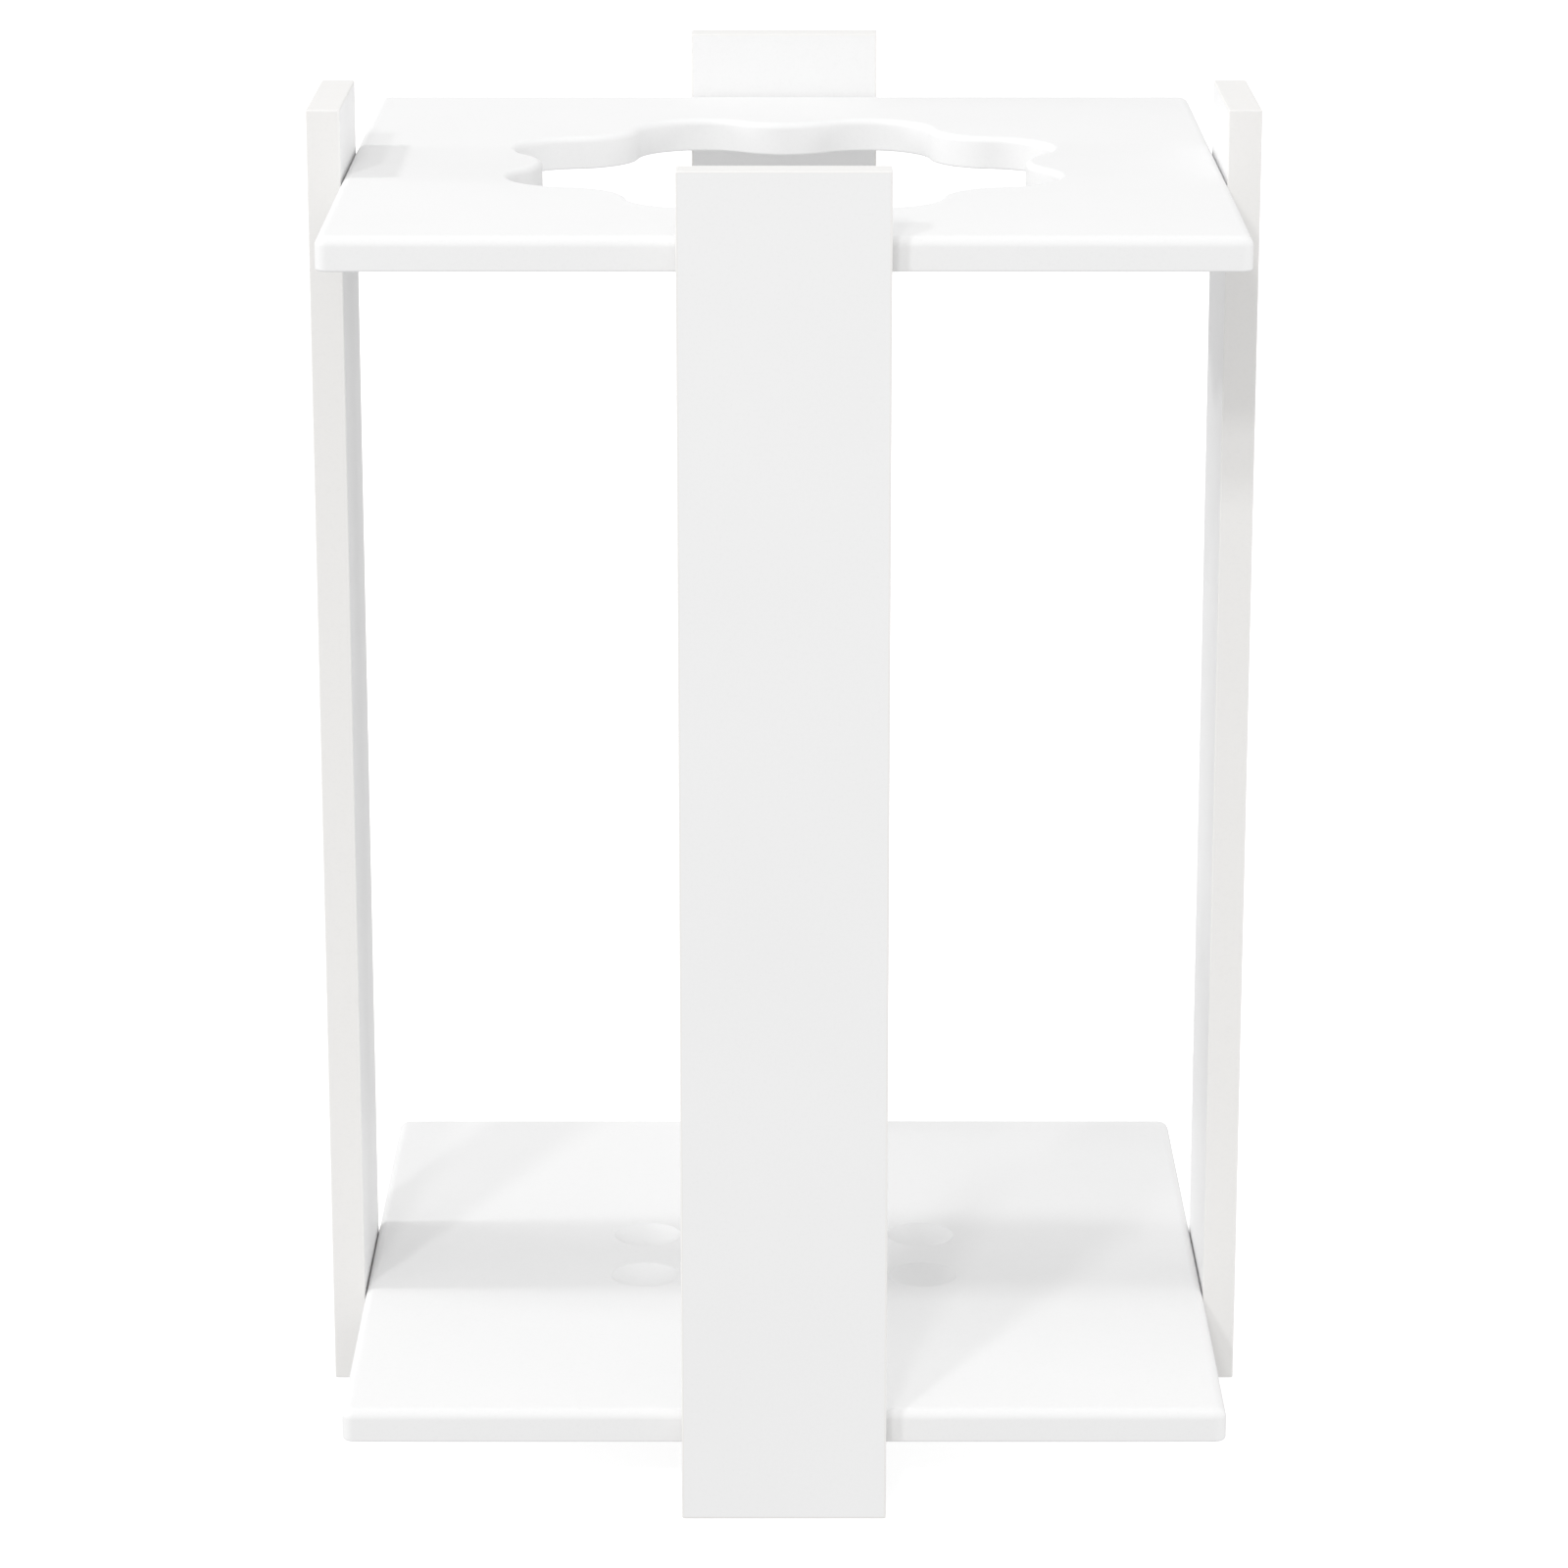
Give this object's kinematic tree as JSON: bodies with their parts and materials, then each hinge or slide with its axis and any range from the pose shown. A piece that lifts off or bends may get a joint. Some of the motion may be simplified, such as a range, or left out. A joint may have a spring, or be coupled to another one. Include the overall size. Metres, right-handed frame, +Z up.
{
  "type": "umbrella stand",
  "caption": "Square open umbrella stand: a top plate with a flower-shaped hole and a bottom plate with tip dishes, held between flat upright boards that run down as feet.",
  "frame": {"origin": "middle of the footprint, on the floor", "axes": "+Z up, the front board faces -Y, the right board faces +X"},
  "size_m": [0.423, 0.423, 0.6],
  "materials": {
    "board_white": "matt white melamine on engineered wood",
    "plate_white": "satin white lacquer on engineered wood, rounded edges",
    "edge_band_white": "satin warm white edge banding",
    "cam_metal": "bright zinc casting",
    "bolt_steel": "zinc-plated steel",
    "dowel_beech": "raw beech"
  },
  "bodies": {
    "root": {"top_plate": "plate_white", "bottom_plate": "plate_white", "front_board": "board_white", "front_board_left_band": "edge_band_white", "front_board_right_band": "edge_band_white", "front_board_top_band": "edge_band_white", "front_board_bottom_band": "edge_band_white", "front_top_cam": "cam_metal", "front_top_cam_bolt": "bolt_steel", "front_top_dowel_left": "dowel_beech", "front_top_dowel_right": "dowel_beech", "front_bottom_cam": "cam_metal", "front_bottom_cam_bolt": "bolt_steel", "front_bottom_dowel_left": "dowel_beech", "front_bottom_dowel_right": "dowel_beech", "right_board": "board_white", "right_board_left_band": "edge_band_white", "right_board_right_band": "edge_band_white", "right_board_top_band": "edge_band_white", "right_board_bottom_band": "edge_band_white", "right_top_cam": "cam_metal", "right_top_cam_bolt": "bolt_steel", "right_top_dowel_left": "dowel_beech", "right_top_dowel_right": "dowel_beech", "right_bottom_cam": "cam_metal", "right_bottom_cam_bolt": "bolt_steel", "right_bottom_dowel_left": "dowel_beech", "right_bottom_dowel_right": "dowel_beech", "back_board": "board_white", "back_board_left_band": "edge_band_white", "back_board_right_band": "edge_band_white", "back_board_top_band": "edge_band_white", "back_board_bottom_band": "edge_band_white", "back_top_cam": "cam_metal", "back_top_cam_bolt": "bolt_steel", "back_top_dowel_left": "dowel_beech", "back_top_dowel_right": "dowel_beech", "back_bottom_cam": "cam_metal", "back_bottom_cam_bolt": "bolt_steel", "back_bottom_dowel_left": "dowel_beech", "back_bottom_dowel_right": "dowel_beech", "left_board": "board_white", "left_board_left_band": "edge_band_white", "left_board_right_band": "edge_band_white", "left_board_top_band": "edge_band_white", "left_board_bottom_band": "edge_band_white", "left_top_cam": "cam_metal", "left_top_cam_bolt": "bolt_steel", "left_top_dowel_left": "dowel_beech", "left_top_dowel_right": "dowel_beech", "left_bottom_cam": "cam_metal", "left_bottom_cam_bolt": "bolt_steel", "left_bottom_dowel_left": "dowel_beech", "left_bottom_dowel_right": "dowel_beech"}
  },
  "joints": []
}
